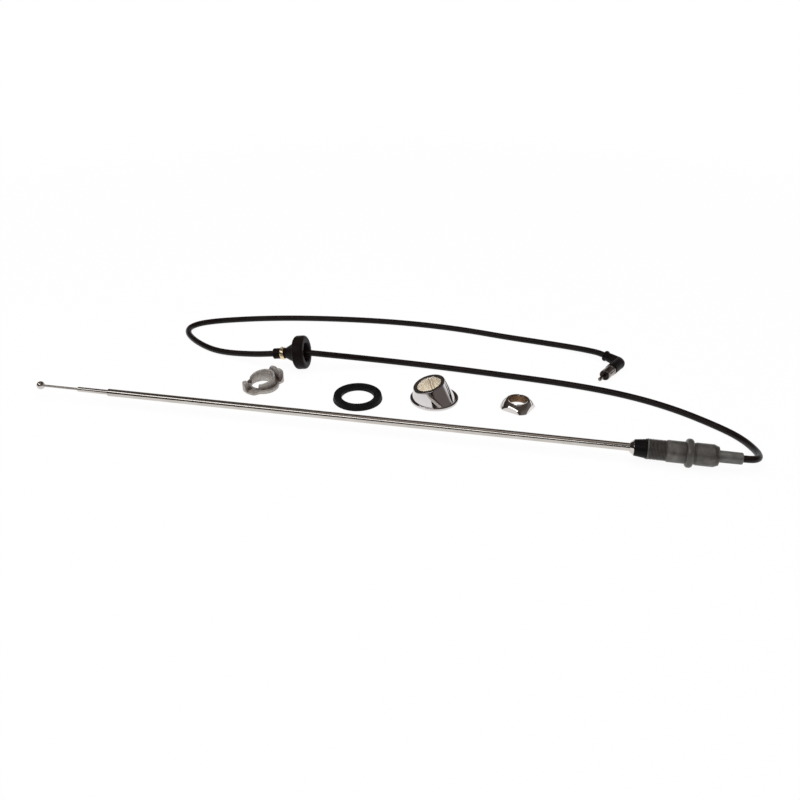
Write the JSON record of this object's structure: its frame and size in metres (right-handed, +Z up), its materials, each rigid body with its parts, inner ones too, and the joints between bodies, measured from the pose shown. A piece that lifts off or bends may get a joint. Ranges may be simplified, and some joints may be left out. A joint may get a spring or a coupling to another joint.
{
  "type": "car antenna",
  "caption": "Telescopic car antenna with a threaded flanged base, a coaxial lead with grommet and right-angle plug, and loose wing fixings.",
  "frame": {"origin": "on the table, in the middle of the antenna and its fixing set, without the lead", "axes": "+X along the mast from its tip to its tail, +Z up, the fixing set and the lead on the +Y side"},
  "size_m": [0.5896, 0.2137, 0.0308],
  "materials": {
    "chrome": "bright chrome plating on steel",
    "pad_chrome": "bright chrome plating on a cream plastic moulding",
    "nut_chrome": "bright chrome plating on brass",
    "zinc": "dull zinc plating with fine turning marks",
    "cast_zinc": "as-cast grey zinc alloy",
    "brass": "plain drawn brass",
    "collar_plastic": "black moulded plastic",
    "gasket_rubber": "matt black moulded rubber",
    "grommet_rubber": "satin dark grey moulded rubber",
    "cable_jacket": "satin black extruded jacket",
    "plug_plastic": "black moulded plastic",
    "plug_metal": "bright nickel plating",
    "insulator_brown": "dark brown pressed resin"
  },
  "bodies": {
    "base": {"outer_tube": "chrome", "mast_ferrule": "chrome", "insulator_collar": "collar_plastic", "base_body": "zinc", "contact_terminal": "brass", "rear_insulator": "collar_plastic", "cable_core": "brass", "cable_end": "cable_jacket", "tail_sleeve": "zinc", "end_ring": "zinc", "clamp_claw": "cast_zinc", "rubber_gasket": "gasket_rubber", "bevel_pad": "pad_chrome", "fixing_nut": "nut_chrome", "antenna_cable": "cable_jacket", "cable_grommet": "grommet_rubber", "grommet_band": "brass", "plug_housing": "plug_plastic", "plug_sleeve": "plug_metal", "plug_insulator": "insulator_brown", "plug_pin": "plug_metal"},
    "middle_section": {"middle_tube": "chrome", "middle_friction_bush": "brass"},
    "whip_section": {"whip_rod": "chrome", "whip_friction_bush": "brass", "tip_ball": "chrome"}
  },
  "joints": [
    {"name": "middle_slide", "type": "slide", "parent": "base", "child": "middle_section", "axis": [-1, 0, 0], "range_m": [-0.0271, 0.3987]},
    {"name": "whip_slide", "type": "slide", "parent": "middle_section", "child": "whip_section", "axis": [-1, 0, 0], "range_m": [-0.0311, 0.3922]}
  ]
}
